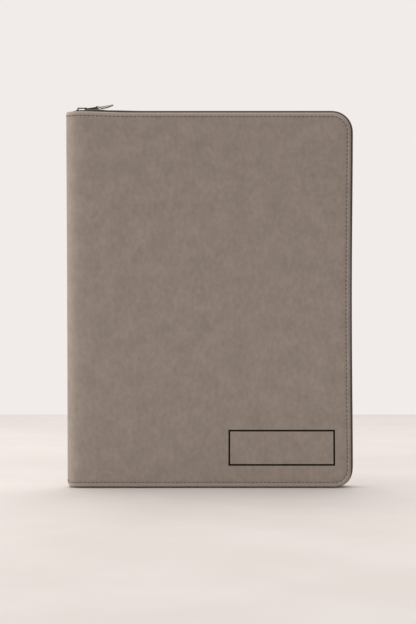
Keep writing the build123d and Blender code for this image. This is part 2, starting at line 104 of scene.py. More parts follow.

# How the sewn case departs from its pattern
SHOULDER = 1.1  # how far the leatherette sinks where the padding ends beside the spine
SHOULDER_X = FOLD_X - 5.0
SHOULDER_REACH = 7.0
FOOT_ROUND = 4.2  # rounding of the spine at its foot
FOOT_REACH = 28.0  # how far up the spine it is felt
WRAP_DRAWN = 1.2  # how far the sewing draws the free edge in at half height
ZIP_DRAWN = 0.9  # the same for the zip
DRAWN_REACH = 60.0
RIM_TUCK = 0.5  # how far the outermost leatherette is tucked in along the free edge
TUCK_REACH = 2.6
SPINE_SWELL = 1.3  # how far the top of the spine swells outwards
SPINE_RISE = 1.2  # how far the top edge rises towards the spine
RISE_START, RISE_END = 70.0, 116.0  # from the middle of the cover towards the spine
RISE_DEPTH = 120.0
CORNER_SPREAD = 2.0  # how much squarer the lower free corner is, under the weight of the case

# Engraved rectangle low on the front
FRAME_LEFT, FRAME_RIGHT = 16.3, 110.2
FRAME_FOOT, FRAME_TOP = 19.7, 51.4
FRAME_LINE = 1.55
FRAME_DEPTH = 0.3
FRAME_WALL = 0.2

# Sewing
STITCH_PITCH = 3.7
STITCH_LENGTH = 2.4
STITCH_DEPTH, SPINE_STITCH_DEPTH = SEAM_DEPTH - 0.12, 0.26
THREAD = 0.62
POCKET_PITCH = 3.2
POCKET_THREAD = 0.5
POCKET_SEAM = 2.4  # from the edge of a pocket
POCKET_SEAM_R = 1.5
POCKET_R = 3.0
POCKET_T = 0.45
HEM = 4.0
SCOOP_FLOOR, SCOOP_REACH = 7.0, 21.0  # middle of the thumb scoop to the ends of its floor and of its sides

# Zip
ZIP_LEFT = corners("zipper_tape_front")[0][0]
TOOTH_HALF = 0.8  # middle to top of a tooth
TEETH_LOW, TEETH_HIGH = corners("zipper_teeth_front")
ZIP_RIGHT = TEETH_HIGH[0] - TOOTH_HALF
ZIP_TOP = TEETH_HIGH[2] - TOOTH_HALF
ZIP_FOOT = TEETH_LOW[2] + TOOTH_HALF
ZIP_R = CORNER_R + ZIP_RIGHT - EDGE
ZIP_RUN = [(ZIP_LEFT, ZIP_TOP), (ZIP_RIGHT, ZIP_TOP), (ZIP_RIGHT, ZIP_FOOT), (ZIP_LEFT, ZIP_FOOT)]
CHAIN_HALF = 2.9  # middle of the zip to the outer side of a row
TOOTH_PITCH = 1.9
TAPE_T = 0.6
TAPE_STEP = 3.0
STOP_LENGTH = 1.8
SLIDER_END = corners("slider_body")[1][0]
PUCKER = 1.05  # how far the tape bunches up beside the slider
LOOSE = 0.55  # how far it still stands up past there
PUCKER_START = ZIP_LEFT + 4.0, SLIDER_END + 1.0
PUCKER_END = SLIDER_END + 8.0, SLIDER_END + 17.0
LOOSE_END = SLIDER_END + 17.0, SLIDER_END + 49.0

# Linings
LINING_T = 0.35
LINING_INSET = 2.0
LINING_DEPTH = FACE - 7.0  # outer face to the side of the lining that shows
SPINE_LINING_DEPTH = 3.0


# Mesh tools

def stations(start, end, step, lines=()):
    """Even stations from start to end, with the given lines among them."""
    marks = sorted({start, end, *[line for line in lines if start < line < end]})
    places = []
    for a, b in zip(marks, marks[1:]):
        places += list(np.linspace(a, b, max(1, round((b - a) / step)), endpoint=False))
    return np.array(places + [end])


def cells(rows, cols):
    """Faces of a grid of points, given row by row."""
    corner = (np.arange(rows - 1)[:, None] * cols + np.arange(cols - 1)[None, :]).ravel()
    return np.column_stack((corner, corner + 1, corner + cols + 1, corner + cols)).tolist()


def outline(rows, cols, open_left=False):
    """Rows and columns of the points round a grid, from its lower left; an open left side is left out."""
    around = [(0, i) for i in range(cols)] + [(j, cols - 1) for j in range(1, rows)]
    around += [(rows - 1, i) for i in range(cols - 2, -1, -1)]
    if not open_left:
        around += [(j, 0) for j in range(rows - 2, 0, -1)]
    return np.array(around).T


def sewn_sheet(
    left, right, foot, top, radius, rim, step, lines_u=(), lines_v=(), open_left=False, field=True
):
    """Points (u, v, depth) and faces of a flat sheet: a field of cells in a shaped rim with rounded corners.

    The rim lists (inset, depth) from its outer end inwards, and the field starts at the last inset.
    A sheet that is open at the left has no rim and no corners there."""
    inset, field_depth = rim[-1]
    r = max(radius - inset, 0.8)
    bend = r / (5 if r > 4 else 3)
    u_low, u_high = (left if open_left else left + inset + r), right - inset - r
    v_low, v_high = foot + inset + r, top - inset - r

    def spaced(low, high, lines):
        """Stations across the field, closer in the corners."""
        near = stations(low - r, low, bend, lines)[:-1]
        far = stations(high, high + r, bend, lines)[1:]
        return np.concatenate([near, stations(low, high, step, lines), far])

    us, vs = spaced(u_low, u_high, lines_u), spaced(v_low, v_high, lines_v)
    if open_left:
        us = us[us >= u_low]
    # Corner cells are pressed from a square into a quarter circle
    s = np.where(us > u_high, us - u_high, np.minimum(us - u_low, 0))[None, :] / r + 0 * vs[:, None]
    t = np.where(vs > v_high, vs - v_high, np.minimum(vs - v_low, 0))[:, None] / r + 0 * us[None, :]
    out_u, out_v = s * np.sqrt(1 - t * t / 2), t * np.sqrt(1 - s * s / 2)
    u = np.where(s == 0, us[None, :], np.where(s > 0, u_high, u_low) + r * out_u)
    v = np.where(t == 0, vs[:, None], np.where(t > 0, v_high, v_low) + r * out_v)
    rows, cols = u.shape
    row, col = outline(rows, cols, open_left)
    points, faces, rings = [], [], []
    start = 0
    if field:
        points.append(np.column_stack((u.ravel(), v.ravel(), np.full(u.size, field_depth))))
        faces += cells(rows, cols)
        start = u.size
    for d, depth in rim[:-1] if field else rim:
        ring_u = u[row, col] + out_u[row, col] * (inset - d)
        ring_v = v[row, col] + out_v[row, col] * (inset - d)
        points.append(np.column_stack((ring_u, ring_v, np.full(len(row), depth))))
        rings.append(start + np.arange(len(row)))
        start += len(row)
    if field:
        rings.append(row * cols + col)
    for outer, inner in zip(rings, rings[1:]):
        if open_left:
            a, b, c, d = outer[:-1], outer[1:], inner[1:], inner[:-1]
        else:
            a, b, c, d = outer, np.roll(outer, -1), np.roll(inner, -1), inner
        faces += np.column_stack((a, b, c, d)).tolist()
    return np.concatenate(points), faces


def rounded_path(points, radius, spacing, start=0.0):
    """Places and directions at even spacing along a line through points, with rounded corners."""
    points = [np.array(p, float) for p in points]
    line = [points[0]]
    for before, corner, after in zip(points, points[1:], points[2:]):
        back = unit(before - corner)
        on = unit(after - corner)
        half = math.acos(float(np.clip(back @ on, -1, 1))) / 2
        middle = corner + unit(back + on) * radius / math.sin(half)
        first = corner + back * radius / math.tan(half) - middle
        last = corner + on * radius / math.tan(half) - middle
        turn = math.atan2(first[0] * last[1] - first[1] * last[0], first @ last)
        for angle in np.linspace(0, turn, 24):
            c, s = math.cos(angle), math.sin(angle)
            line.append(middle + np.array([c * first[0] - s * first[1], s * first[0] + c * first[1]]))
    line = np.array(line + [points[-1]])
    length = run_length(line)

    def reached(at):
        """Places on the line at these lengths along it."""
        return np.column_stack([np.interp(at, length, line[:, k]) for k in (0, 1)])

    at = np.arange(start, length[-1] + 1e-6, spacing)
    return reached(at), unit(reached(at + 0.05) - reached(at - 0.05))


def unit(ways):
    """A direction, or each row of many, at length 1."""
    return ways / np.linalg.norm(ways, axis=-1, keepdims=True)


def run_length(line):
    """Length along a line at each of its points."""
    return np.concatenate([[0], np.cumsum(np.linalg.norm(np.diff(line, axis=0), axis=1))])


def lofted(sections, sides=8):
    """Points and faces of a closed bead: sections list (along, half width, half height, lift)."""
    angle = np.arange(sides) * 2 * math.pi / sides
    points = []
    for along, wide, high, lift in sections:
        ring = (np.full(sides, along), wide * np.cos(angle), high * np.sin(angle) + lift)
        points.append(np.column_stack(ring))
    faces = [list(range(sides))[::-1]]
    for k in range(len(sections) - 1):
        for i in range(sides):
            n = (i + 1) % sides
            faces.append([k * sides + i, k * sides + n, (k + 1) * sides + n, (k + 1) * sides + i])
    faces.append([(len(sections) - 1) * sides + i for i in range(sides)])
    return np.concatenate(points), faces


def repeated(shape, places, first, second, third):
    """Points and faces of one shape at many places, each with its own three axes."""
    points, faces = shape
    spots = places[:, None, :] + points @ np.stack((first, second, third), axis=1)
    copies = [[n * len(points) + i for i in face] for n in range(len(places)) for face in faces]
    return spots.reshape(-1, 3), copies


def joined(parts):
    """Several (points, faces) as one."""
    points, faces, start = [], [], 0
    for some_points, some_faces in parts:
        points.append(some_points)
        faces += [[start + i for i in face] for face in some_faces]
        start += len(some_points)
    return np.concatenate(points), faces


def step_up(values, start, end):
    """0 before start, 1 after end, smooth between them."""
    t = np.clip((values - start) / (end - start), 0, 1)
    return t * t * (3 - 2 * t)


def upright(flat, y):
    """Places of flat points (u, v) that stand in a plane across Y, or at a distance of their own each."""
    return np.column_stack((flat[:, 0], y + 0 * flat[:, 0], flat[:, 1]))


def piece(name, points, faces, material, flat=None, flip=False):
    """A smooth mesh piece from points in millimetres; flat gives their places on the uncut sheet."""
    mesh = bpy.data.meshes.new(name)
    mesh.from_pydata((points / 1000).tolist(), [], [face[::-1] for face in faces] if flip else faces)
    return finished(name, mesh, points if flat is None else flat, material)


def finished(name, mesh, flat, material):
    """An object of a mesh, shaded smooth, with its finish and the places in millimetres that it uses."""
    spots = mesh.attributes.new("flat_mm", "FLOAT_VECTOR", "POINT")
    spots.data.foreach_set("vector", np.asarray(flat, np.float32).ravel())
    mesh.shade_smooth()
    mesh.materials.append(material)
    made = bpy.data.objects.new(name, mesh)
    scene.collection.objects.link(made)
    return made


def thickened(made, thickness, levels=1, crisp=False, centred=False):
    """Gives a sheet its thickness, inwards or centred, and smooths it; a crisp one keeps a square outline."""
    if crisp:
        uses = np.zeros(len(made.data.edges), int)
        np.add.at(uses, [loop.edge_index for loop in made.data.loops], 1)
        made.data.attributes.new("sharp_edge", "BOOLEAN", "EDGE").data.foreach_set("value", uses == 1)
    for kind in ("SUBSURF", "SOLIDIFY") if crisp else ("SOLIDIFY", "SUBSURF"):
        if kind == "SOLIDIFY":
            solid = made.modifiers.new("thickness", kind)
            solid.thickness = thickness / 1000
            solid.offset = 0.0 if centred else -1.0
        elif levels:
            smooth = made.modifiers.new("smooth", kind)
            smooth.levels = smooth.render_levels = levels


def stands_for(made, node, body):
    """Puts a piece on its body, in the place of a CAD node, which it hides."""
    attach(made, body)
    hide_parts(node)


def eased_copy(node, name, ease, material, body, segments=2):
    """A copy of a rigid CAD node with its edges eased, which stands for the node."""
    mesh = frame["nodes"][node].data.copy()
    mesh.name = name
    form = bmesh.new()
    form.from_mesh(mesh)
    bmesh.ops.remove_doubles(form, verts=form.verts, dist=1e-6)
    bmesh.ops.dissolve_limit(form, angle_limit=math.radians(1), verts=form.verts, edges=form.edges)
    form.to_mesh(mesh)
    form.free()
    mesh.materials.clear()
    made = finished(name, mesh, np.array([v.co for v in mesh.vertices], np.float32) * 1000, material)
    bevel = made.modifiers.new("eased", "BEVEL")
    bevel.width = ease / 1000
    bevel.segments = segments
    bevel.limit_method = "ANGLE"
    bevel.angle_limit = math.radians(28)
    bevel.harden_normals = True
    stands_for(made, node, body)


# Finishes

def linear(colour):
    """An sRGB hex colour as linear red, green, blue and alpha."""
    parts = [int(colour[i : i + 2], 16) / 255 for i in (1, 3, 5)]
    return [c / 12.92 if c <= 0.04045 else ((c + 0.055) / 1.055) ** 2.4 for c in parts] + [1.0]


def connect(node, inputs):
    """Sets a node's inputs: a socket or the first output of a node is linked, any other value is set."""
    for key, value in inputs.items():
        if isinstance(value, bpy.types.Node):
            value = value.outputs[0]
        if isinstance(value, bpy.types.NodeSocket):
            node.id_data.links.new(value, node.inputs[key])
        else:
            node.inputs[key].default_value = value


def add(tree, kind, inputs, stops=(), **settings):
    """Adds a node with its inputs and settings; stops are the (place, hex colour) pairs of a colour ramp."""
    made = tree.nodes.new("ShaderNode" + kind)
    for key, value in settings.items():
        setattr(made, key, value)
    for number, (place, colour) in enumerate(stops):
        ramp = made.color_ramp.elements
        element = ramp[number] if number < len(ramp) else ramp.new(place)
        element.position = place
        element.color = linear(colour)
    connect(made, inputs)
    return made


def finish(name, constants):
    """A new material with constant shader inputs: itself, its tree, its shader and places in millimetres."""
    material = bpy.data.materials.new(name)
    material.use_nodes = True
    tree = material.node_tree
    shader = tree.nodes["Principled BSDF"]
    connect(shader, constants)
    places = add(tree, "Attribute", {}, attribute_name="flat_mm").outputs["Vector"]
    return material, tree, shader, places


def brushed_leatherette():
    """Polyurethane leatherette brushed like suede: dull taupe, soft clouds, short nap strokes, fine grain."""
    material, tree, shader, places = finish(
        "brushed_leatherette",
        {"Sheen Weight": 0.22, "Sheen Roughness": 0.4, "Sheen Tint": linear("#d8cdc4"), "IOR": 1.48},
    )
    cloud_mm, stroke_mm = 17.0, (4.0, 6.0, 4.0)
    grain_mm = 0.9  # really about 0.3 mm, drawn coarser so that it shows
    cloud = add(tree, "TexNoise", {"Vector": places, "Scale": 1 / cloud_mm, "Detail": 4.0, "Roughness": 0.6})
    stroke = [1 / mm for mm in stroke_mm]
    strokes = add(tree, "VectorMath", {0: places, 1: stroke}, operation="MULTIPLY")
    nap = add(tree, "TexNoise", {"Vector": strokes, "Scale": 1.0, "Detail": 3.0, "Roughness": 0.6})
    mixed = add(tree, "Math", {0: cloud, 1: nap}, operation="ADD")
    halved = add(tree, "Math", {0: mixed, 1: 0.5}, operation="MULTIPLY")
    tones = [(0.34, "#7c7269"), (0.5, "#857a71"), (0.66, "#8e8379")]
    taupe = add(tree, "ValToRGB", {"Fac": halved}, stops=tones)
    # Stretched over the edge, the leatherette pales; the pale edge is also a painted highlight where the
    # rounded edge catches the light, and it is left off the free side, which stays in shade
    edge = add(tree, "Attribute", {}, attribute_name="edge").outputs["Fac"]
    pale = add(tree, "Mix", {"Factor": edge, 6: taupe, 7: linear("#938880")}, data_type="RGBA")
    rough = add(tree, "MapRange", {"Value": nap, "To Min": 0.62, "To Max": 0.76})
    grain = add(tree, "TexNoise", {"Vector": places, "Scale": 1 / grain_mm, "Detail": 2.0, "Roughness": 0.6})
    bump = add(tree, "Bump", {"Height": grain, "Strength": 0.5, "Distance": 0.0003})
    connect(shader, {"Base Color": pale.outputs[2], "Roughness": rough, "Normal": bump})
    return material


def burnt_leatherette():
    """The dark core of the leatherette, bared by a laser: matt, sooty and slightly ridged."""
    material, tree, shader, places = finish(
        "burnt_leatherette", {"Roughness": 0.95, "IOR": 1.48, "Specular IOR Level": 0.12}
    )
    soot_mm = 1.2
    soot = add(tree, "TexNoise", {"Vector": places, "Scale": 1 / soot_mm, "Detail": 3.0})
    black = add(tree, "ValToRGB", {"Fac": soot}, stops=[(0.3, "#070605"), (0.7, "#110e0c")])
    bump = add(tree, "Bump", {"Height": soot, "Strength": 0.3, "Distance": 0.0002})
    connect(shader, {"Base Color": black, "Normal": bump})
    return material


def grained_leatherette():
    """Calendered PVC leatherette with an embossed pebble grain: dark brown, a satin shine on the pebbles."""
    material, tree, shader, places = finish("grained_leatherette", {"IOR": 1.52})
    pebble_mm, cloud_mm = 1.6, 30.0  # pebbles are really about 0.8 mm across, drawn coarser so that they show
    pebbles = {"Vector": places, "Scale": 1 / pebble_mm, "Randomness": 0.9}
    pebble = add(tree, "TexVoronoi", pebbles, feature="SMOOTH_F1")
    cloud = add(tree, "TexNoise", {"Vector": places, "Scale": 1 / cloud_mm, "Detail": 3.0})
    brown = add(tree, "ValToRGB", {"Fac": cloud}, stops=[(0.3, "#3a332e"), (0.7, "#463e38")])
    # Painted shade: the brown darkens by up to 28% in the hollows between the pebbles
    dark = add(tree, "MapRange", {"Value": pebble, "To Min": 1.0, "To Max": 0.72})
    brown_shaded_in_hollows = add(tree, "VectorMath", {0: brown, "Scale": dark}, operation="SCALE")
    rough = add(tree, "MapRange", {"Value": pebble, "To Min": 0.42, "To Max": 0.62})
    bump = add(tree, "Bump", {"Height": pebble, "Strength": 0.35, "Distance": 0.0003}, invert=True)
    connect(shader, {"Base Color": brown_shaded_in_hollows, "Roughness": rough, "Normal": bump})
    return material


def woven(name, thread_mm, dark, light, roughness, depth_mm):
    """Plain-woven or knitted yarn: crossing threads that catch the light in turn."""
    material, tree, shader, places = finish(name, {"Roughness": roughness, "Sheen Weight": 0.15, "IOR": 1.5})
    threads = add(tree, "VectorMath", {0: places, 1: (1 / thread_mm,) * 3}, operation="MULTIPLY")
    parts = add(tree, "SeparateXYZ", {"Vector": threads})
    waves = []
    for axis in "XY":
        turn = add(tree, "Math", {0: parts.outputs[axis], 1: math.pi}, operation="MULTIPLY")
        waves.append(add(tree, "Math", {0: turn}, operation="SINE"))
    cross = add(tree, "Math", {0: waves[0], 1: waves[1]}, operation="MULTIPLY")
    height = add(tree, "MapRange", {"Value": cross, "From Min": -1.0})
    yarn = add(tree, "ValToRGB", {"Fac": height}, stops=[(0.1, dark), (0.9, light)])
    bump = add(tree, "Bump", {"Height": height, "Strength": 0.5, "Distance": depth_mm / 1000})
    connect(shader, {"Base Color": yarn, "Normal": bump})
    return material


def mottled(name, size_mm, dark, light, constants, bump_mm=0.0, rough=None):
    """A surface whose tone wanders a little, with an optional grain of the same size."""
    material, tree, shader, places = finish(name, constants)
    cloud = add(tree, "TexNoise", {"Vector": places, "Scale": 1 / size_mm, "Detail": 4.0, "Roughness": 0.6})
    tone = add(tree, "ValToRGB", {"Fac": cloud}, stops=[(0.32, dark), (0.68, light)])
    connect(shader, {"Base Color": tone})
    if rough:
        spread = add(tree, "MapRange", {"Value": cloud, "To Min": rough[0], "To Max": rough[1]})
        connect(shader, {"Roughness": spread})
    if bump_mm:
        bump = add(tree, "Bump", {"Height": cloud, "Strength": 0.4, "Distance": bump_mm / 1000})
        connect(shader, {"Normal": bump})
    return material


def ruled_paper():
    """Uncoated writing paper: warm white with faint fibres, pale blue rules and a pink margin line."""
    material, tree, shader, places = finish("ruled_paper", {"Roughness": 0.82, "IOR": 1.47})
    low, high = corners("pad_paper")
    head, margin, rule_pitch, fibre_mm = 44.0, 32.0, 7.1, 3.0
    # Rules and margin are 0.2 mm wide; they are drawn 0.5 and 0.7 mm wide so that they show
    rule_width, margin_half = 0.5, 0.35
    parts = add(tree, "SeparateXYZ", {"Vector": places})
    fibre = add(tree, "TexNoise", {"Vector": places, "Scale": 1 / fibre_mm, "Detail": 4.0})
    sheet = add(tree, "ValToRGB", {"Fac": fibre}, stops=[(0.3, "#f1ede0"), (0.7, "#f8f5ea")])
    spaced = add(tree, "Math", {0: parts.outputs["Z"], 1: rule_pitch}, operation="MODULO")
    rule = add(tree, "Math", {0: spaced, 1: rule_width}, operation="LESS_THAN")
    below = add(tree, "Math", {0: parts.outputs["Z"], 1: high[2] - head}, operation="LESS_THAN")
    ruled = add(tree, "Math", {0: rule, 1: below}, operation="MULTIPLY")
    lined = add(tree, "Mix", {"Factor": ruled, 6: sheet, 7: linear("#a9bccb")}, data_type="RGBA")
    beside = {0: parts.outputs["X"], 1: low[0] + margin, 2: margin_half}
    side = add(tree, "Math", beside, operation="COMPARE")
    full = add(tree, "Mix", {"Factor": side, 6: lined.outputs[2], 7: linear("#d7a7a4")}, data_type="RGBA")
    connect(shader, {"Base Color": full.outputs[2]})
    return material


LEATHERETTE = brushed_leatherette()
BURNT = burnt_leatherette()
POCKET = grained_leatherette()
# Spun polyester thread: short fibres that make it dull and slightly uneven
SPUN = {"Roughness": 0.7, "Sheen Weight": 0.2}
THREAD_TAUPE = mottled("spun_polyester_thread", 0.8, "#493f37", "#5a4f46", SPUN)
THREAD_DARK = mottled("spun_polyester_thread_dark", 0.8, "#564c44", "#6b6057", SPUN)
# Woven polyester: dark brown and dull, with a fine check. Threads are about 0.35 mm in the tape and 0.4 mm in
# the lining; both are drawn coarser so that the weave shows
TAPE = woven("woven_polyester_tape", 0.7, "#352e29", "#4c443d", 0.8, 0.15)
LINING = woven("woven_polyester_lining", 1.1, "#383129", "#4d453c", 0.75, 0.12)
# Knitted elastic: nearly black, with ribs of about 1 mm
ELASTIC = woven("knitted_elastic", 1.0, "#23201d", "#3a3530", 0.8, 0.2)
# Moulded nylon: dark brown with a satin shine that varies from tooth to tooth
NYLON = mottled("moulded_nylon", 2.0, "#322c27", "#443c36", {"IOR": 1.53}, rough=(0.32, 0.5))
# Die-cast zinc, plated black and lacquered: nearly black, with small clear highlights on its eased edges
GUNMETAL = mottled(
    "lacquered_gunmetal_zinc", 3.0, "#1c1915", "#2c2822",
    {"Metallic": 1.0, "Coat Weight": 0.15, "Coat Roughness": 0.18}, bump_mm=0.05, rough=(0.26, 0.42),
)
# Open-cell polyurethane foam: grey, quite matt and pitted
FOAM = mottled("polyurethane_foam", 1.5, "#6d6a66", "#85817c", {"Roughness": 0.95}, bump_mm=0.5)
# Pressed boards: matt, flecked with fibres of a few millimetres
BOARD = mottled("grey_pulp_board", 4.0, "#77706a", "#8b837b", {"Roughness": 0.9}, bump_mm=0.1)
BACKING = mottled("brown_chip_board", 3.0, "#8d7a62", "#a3907a", {"Roughness": 0.88}, bump_mm=0.1)
# Sized bookbinding cloth: black with a faint weave of 0.4 mm, drawn at 0.9 mm so that it shows
BINDING = woven("bookbinding_cloth", 0.9, "#2a2725", "#3b3733", 0.72, 0.1)
PAPER = ruled_paper()
# Calendered vinyl film: clear and glossy, a little dulled by handling
FILM = mottled(
    "calendered_vinyl_film", 40.0, "#f4f5f5", "#fbfcfc",
    {"Transmission Weight": 1.0, "IOR": 1.53}, rough=(0.03, 0.1),
)


# Covers

def spine_share(u):
    """0 on a cover, 1 on the spine."""
    return step_up(-u, -FOLD_X, -FOLD_X + FOLD_ARC)


def drawn_in(u, v, most):
    """How far the free edge is drawn in by its sewing: most at half height, nothing in the corners."""
    return most * np.sin(math.pi * np.clip(v / HEIGHT, 0, 1)) ** 2 * step_up(u, EDGE - DRAWN_REACH, EDGE)


def spread_out(u, v):
    """How far points in the lower free corner move out and down."""
    over_u, over_v = np.clip(u - EDGE + CORNER_R, 0, CORNER_R), np.clip(CORNER_R - v, 0, CORNER_R)
    return CORNER_SPREAD * over_u * over_v / CORNER_R**2


def rolled(flat, side):
    """Places of points (u, v, depth) of the flat wrap, bent round the spine; side is -1 in front."""
    u, v, depth = flat.T
    past = np.clip(FOLD_X - u, 0, None)
    turn = np.clip(past / FOLD_R, 0, math.pi / 2)
    outer = np.clip((HEM_DEPTH - depth) / HEM_FADE, 0, 1)  # 1 on the face, 0 on the hem
    sunk = SHOULDER * np.exp(-(((u - SHOULDER_X) / SHOULDER_REACH) ** 2)) * outer
    radius = FOLD_R - depth - sunk
    x = np.maximum(u, FOLD_X) - radius * np.sin(turn)
    y = FOLD_Y + radius * np.cos(turn) - np.clip(past - FOLD_ARC, 0, None)
    into = np.clip(SPINE + FOOT_ROUND - x, 0, FOOT_ROUND)
    lift = (FOOT_ROUND - np.sqrt(FOOT_ROUND**2 - into**2)) * np.clip(1 - v / FOOT_REACH, 0, 1) ** 2
    swell = SPINE_SWELL * (np.clip(v, 0, HEIGHT) / HEIGHT) ** 1.5 * spine_share(u)
    tuck = RIM_TUCK * step_up(u, EDGE - TUCK_REACH, EDGE)
    rise = SPINE_RISE * step_up(-u, RISE_START, RISE_END) * step_up(v, HEIGHT - RISE_DEPTH, HEIGHT)
    out = spread_out(u, v)
    x = x - swell - drawn_in(u, v, WRAP_DRAWN) - tuck + out
    return np.column_stack((x, side * y, v + lift + rise - out))


def bend_with_spine(made):
    """Bakes the placement of a piece into its mesh."""
    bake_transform(made)


def padding_rise():
    """Heights of the field over the padding, simulated as cloth held at its seam and pressed from below."""
    us = stations(FOLD_X, EDGE - SEAM_INSET, PADDING_CELL)
    vs = stations(SEAM_INSET, HEIGHT - SEAM_INSET, PADDING_CELL)
    u, v = np.meshgrid(us, vs)
    rows, cols = u.shape
    flat = np.column_stack((u.ravel(), v.ravel()))
    made = piece("padding", upright(flat, 0.0), cells(rows, cols), FOAM)
    row, col = outline(rows, cols)
    made.vertex_groups.new(name="seam").add((row * cols + col).tolist(), 1.0, "REPLACE")
    cloth = made.modifiers.new("padding", "CLOTH").settings
    cloth.quality = 5
    cloth.mass = 0.3
    cloth.tension_stiffness = cloth.compression_stiffness = 15
    cloth.vertex_group_mass = "seam"
    cloth.use_pressure = True
    cloth.uniform_pressure_force = 0.05
    cloth.effector_weights.gravity = 0.0
    for number in range(1, PADDING_FRAMES + 1):
        scene.frame_set(number)
    shape = made.evaluated_get(bpy.context.evaluated_depsgraph_get()).to_mesh()
    rise = -1000 * np.array([vertex.co.y for vertex in shape.vertices]).reshape(rows, cols)
    bpy.data.objects.remove(made)
    scene.frame_set(1)
    return us, vs, PADDING_RISE * np.tanh(rise / PADDING_RISE)


def height_at(field, u, v):
    """Reads a grid of heights at points between its stations."""
    us, vs, rise = field
    column = np.clip(np.interp(u, us, np.arange(len(us))), 0, len(us) - 1.001)
    row = np.clip(np.interp(v, vs, np.arange(len(vs))), 0, len(vs) - 1.001)
    i, j = column.astype(int), row.astype(int)
    a, b = column - i, row - j
    low = rise[j, i] * (1 - a) + rise[j, i + 1] * a
    high = rise[j + 1, i] * (1 - a) + rise[j + 1, i + 1] * a
    return low * (1 - b) + high * b


def edge_inset(u, v):
    """How far points of the flat wrap lie in from its outline."""
    over_u = np.clip(u - EDGE + CORNER_R, 0, None)
    over_v = np.clip(np.abs(v - HEIGHT / 2) - HEIGHT / 2 + CORNER_R, 0, None)
    return CORNER_R - np.where(over_u > 0, np.hypot(over_u, over_v), over_v)


def engrave(flat, faces):
    """Sinks the line of the rectangle into the field and says which faces lie in it."""
    middle = np.array([(FRAME_LEFT + FRAME_RIGHT) / 2, (FRAME_FOOT + FRAME_TOP) / 2])
    half = np.array([FRAME_RIGHT - FRAME_LEFT, FRAME_TOP - FRAME_FOOT]) / 2

    def outside(spots):
        """How far places lie outside the rectangle."""
        return np.max(np.abs(spots[:, :2] - middle) - half, axis=1)

    hair = 0.01
    out = outside(flat)
    flat[(out < hair - FRAME_WALL) & (out > FRAME_WALL - FRAME_LINE - hair), 2] += FRAME_DEPTH
    out = outside(flat[np.array(faces)].mean(axis=1))
    return (out < 0) & (out > -FRAME_LINE)


def make_wrap(side, cover, field):
    """Leatherette of one cover with its half of the spine: hem, puffy edge, sewn groove and padded field."""
    lines_u, lines_v = [], []
    if side < 0:
        # The outermost two lines keep the smoothing from widening the groove
        steps = (-FRAME_WALL, 0, FRAME_WALL, FRAME_LINE - FRAME_WALL, FRAME_LINE, FRAME_LINE + FRAME_WALL)
        lines_u = [at for step in steps for at in (FRAME_LEFT + step, FRAME_RIGHT - step)]
        lines_v = [at for step in steps for at in (FRAME_FOOT + step, FRAME_TOP - step)]
    flat, faces = sewn_sheet(
        MID_SPINE, EDGE, WRAP_FOOT, WRAP_TOP, CORNER_R, WRAP_RIM, FIELD_STEP, lines_u, lines_v, open_left=True
    )
    # Painted highlight: the pale edge is partly the leatherette paling where it is stretched and partly light
    # caught by the rounded edge, painted in; the free side keeps its shade
    edge = 1 - step_up(edge_inset(flat[:, 0], flat[:, 1]), *PALE_HIGHLIT_EDGE)
    edge *= 1 - step_up(flat[:, 0], *PALE_HIGHLIT_STOP)
    flat[:, 2] *= 1 - (1 - SPINE_HEM) * spine_share(flat[:, 0])
    flat[:, 2] -= np.where(flat[:, 2] < FIELD_DEPTH, height_at(field, flat[:, 0], flat[:, 1]), 0)
    burnt = engrave(flat, faces) if side < 0 else None
    made = piece(f"{cover}_wrap", rolled(flat, side), faces, LEATHERETTE, flat, flip=side > 0)
    made.data.attributes.new("edge", "FLOAT", "POINT").data.foreach_set("value", edge.astype(np.float32))
    if burnt is not None:
        made.data.materials.append(BURNT)
        made.data.polygons.foreach_set("material_index", burnt.astype(np.int32))
    # With a crisp outline the two wraps meet on the spine with no line between them
    thickened(made, WRAP_T, crisp=True)
    bend_with_spine(made)
    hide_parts(f"{cover}_cover_skin", "spine_skin")


def stitch_shape(thread):
    """One stitch: a plump strand whose ends dip into their holes."""
    # (along, width, lift), as shares
    near_end = [(-1.0, 0.35, -0.5), (-0.86, 0.8, -0.1), (-0.45, 1.0, 0.2)]
    shares = near_end + [(0.0, 1.04, 0.28)] + [(-s, w, lift) for s, w, lift in near_end[::-1]]
    sections = [
        (s * STITCH_LENGTH / 2, w * thread / 2, w * thread / 2.2, lift * thread / 2) for s, w, lift in shares
    ]
    return lofted(sections)


def make_seam(side, cover):
    """The seam round one cover, seen outside and on the lining."""
    foot, top, right = WRAP_FOOT + SEAM_INSET, WRAP_TOP - SEAM_INSET, EDGE - SEAM_INSET
    run = [(MID_SPINE, foot), (right, foot), (right, top), (MID_SPINE, top)]
    spots, way = rounded_path(run, CORNER_R - SEAM_INSET, STITCH_PITCH, STITCH_PITCH / 2)
    share = spine_share(spots[:, 0])
    short = 0.1  # a short way, to find directions on the bent wrap
    ahead = np.column_stack((way * short, np.zeros(len(way))))
    outside = (STITCH_DEPTH, SPINE_STITCH_DEPTH, 1.0)
    inside = (LINING_DEPTH, SPINE_LINING_DEPTH, -1.0)
    rows = []
    for depth, spine_depth, out in (outside, inside):
        flat = np.column_stack((spots, depth * (1 - share) + spine_depth * share))
        places = rolled(flat, side)
        along = unit(rolled(flat + ahead, side) - rolled(flat - ahead, side))
        above = out * unit(rolled(flat - [0, 0, short], side) - places)
        rows.append(repeated(stitch_shape(THREAD), places, along, np.cross(above, along), above))
    made = piece(f"{cover}_seam", *joined(rows), THREAD_TAUPE)
    bend_with_spine(made)


